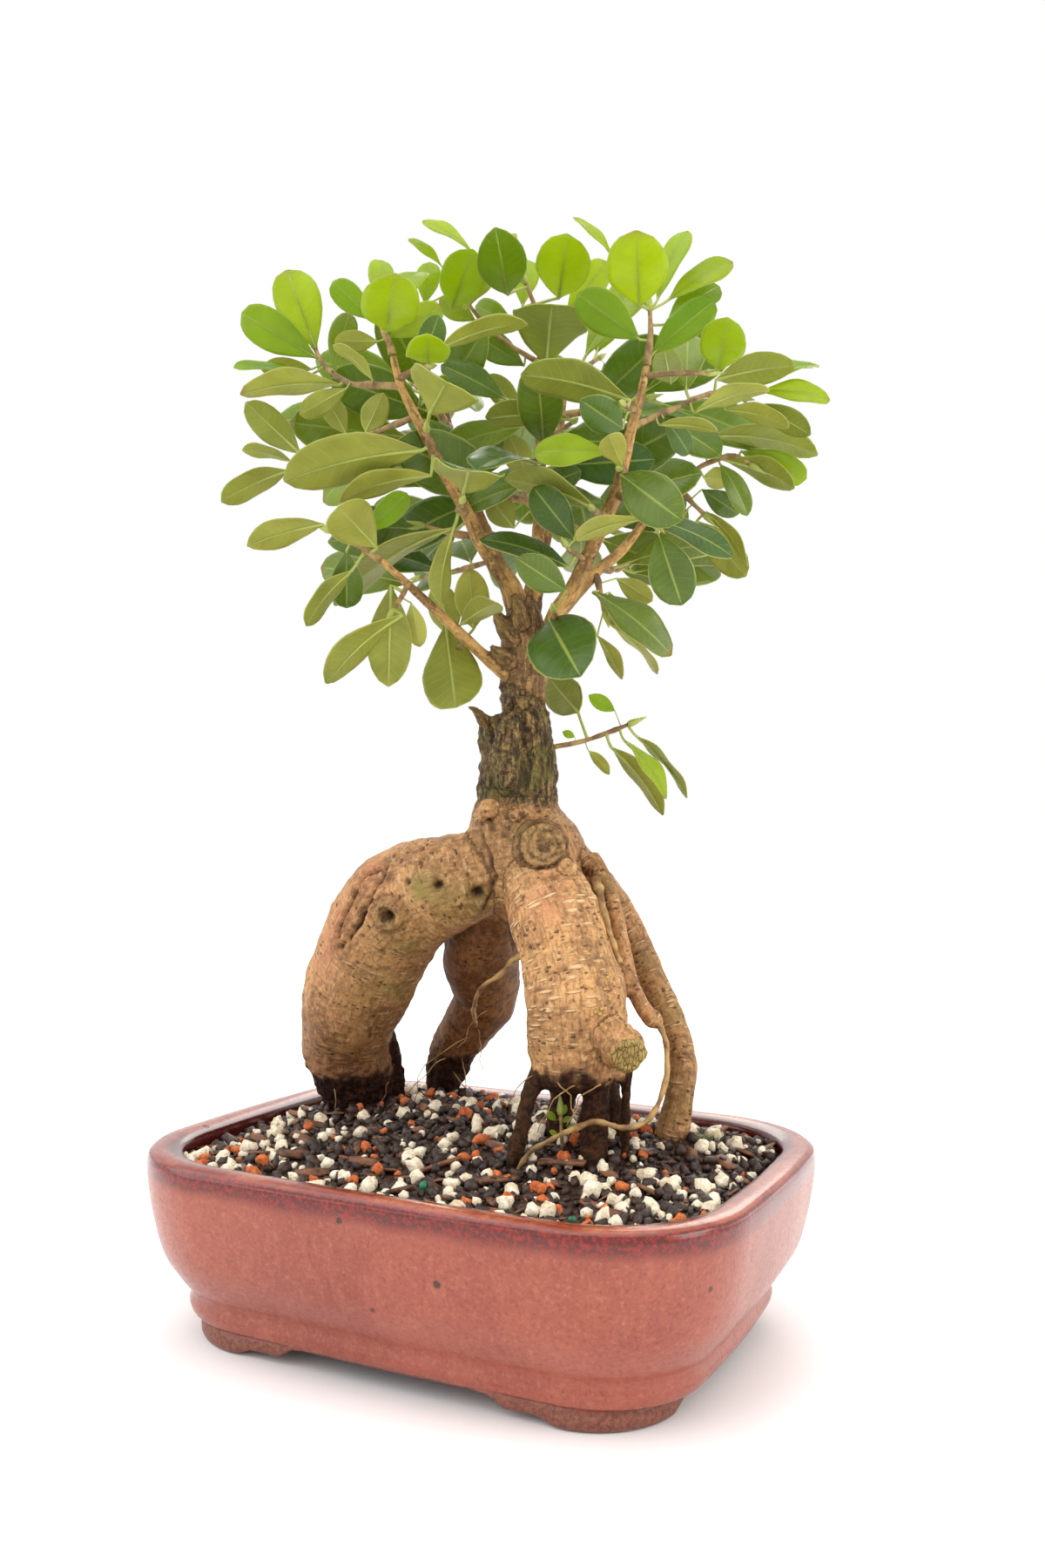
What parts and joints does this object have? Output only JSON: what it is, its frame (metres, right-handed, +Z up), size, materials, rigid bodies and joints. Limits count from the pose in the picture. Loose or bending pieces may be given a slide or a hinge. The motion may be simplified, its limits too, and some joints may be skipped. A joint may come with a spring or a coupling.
{
  "type": "ficus ginseng bonsai",
  "caption": "Grafted fig bonsai with thick arching roots and a rounded crown of oval leaves, in an oblong glazed tray pot on bracket feet.",
  "frame": {"origin": "on the surface the pot stands on, under the middle of the pot", "axes": "+X along the long side of the pot to the viewer's right, +Y away from the viewer's long side, +Z up the trunk"},
  "size_m": [0.1998, 0.1568, 0.37],
  "materials": {
    "glaze": "terracotta-red glaze with fine streaks and pinholes, oxblood under the rim",
    "net": "black moulded net",
    "soil": "dark peat and bark mixed with white pumice and orange clay grains",
    "bark": "grey-brown bark with lenticels, rough at the graft",
    "leaf": "leathery, glossy above and dull olive below, pale midrib",
    "leaf_young": "bright yellow-green young leaf",
    "leaf_dark": "dark glossy green"
  },
  "bodies": {
    "root": {"pot": "glaze", "drain_net_left": "net", "drain_net_right": "net", "soil": "soil", "tree": "bark", "shoot_left_tip": "leaf_young", "shoot_left_round": "leaf", "shoot_left_twig": "leaf", "shoot_left_mid": "leaf", "shoot_left_front": "leaf", "shoot_left_low": "leaf", "shoot_low_left_tip": "leaf", "shoot_low_left_hang": "leaf", "shoot_low_under": "leaf", "shoot_fork_front": "leaf_dark", "shoot_right_stem_low": "leaf_dark", "shoot_right_low": "leaf", "shoot_right_hang": "leaf_dark", "shoot_right_dark": "leaf", "shoot_right_edge_on": "leaf", "shoot_back_right": "leaf", "shoot_right_end": "leaf", "shoot_right_upper": "leaf", "shoot_right_tip": "leaf_young", "shoot_right_tip_low": "leaf", "shoot_right_olive": "leaf", "shoot_middle_left": "leaf_dark", "shoot_middle_right": "leaf_dark", "shoot_middle_tip": "leaf_young", "shoot_middle_high_left": "leaf", "shoot_middle_low": "leaf", "side_shoot": "leaf", "far_shoot_1": "leaf", "far_shoot_2": "leaf", "far_shoot_3": "leaf", "far_shoot_4": "leaf", "far_shoot_5": "leaf", "far_shoot_6": "leaf", "far_shoot_7": "leaf", "far_shoot_8": "leaf", "inner_shoot_1": "leaf", "inner_shoot_2": "leaf", "inner_shoot_3": "leaf", "inner_shoot_4": "leaf", "inner_shoot_5": "leaf", "inner_shoot_6": "leaf", "sprout": "leaf_young"}
  },
  "joints": []
}
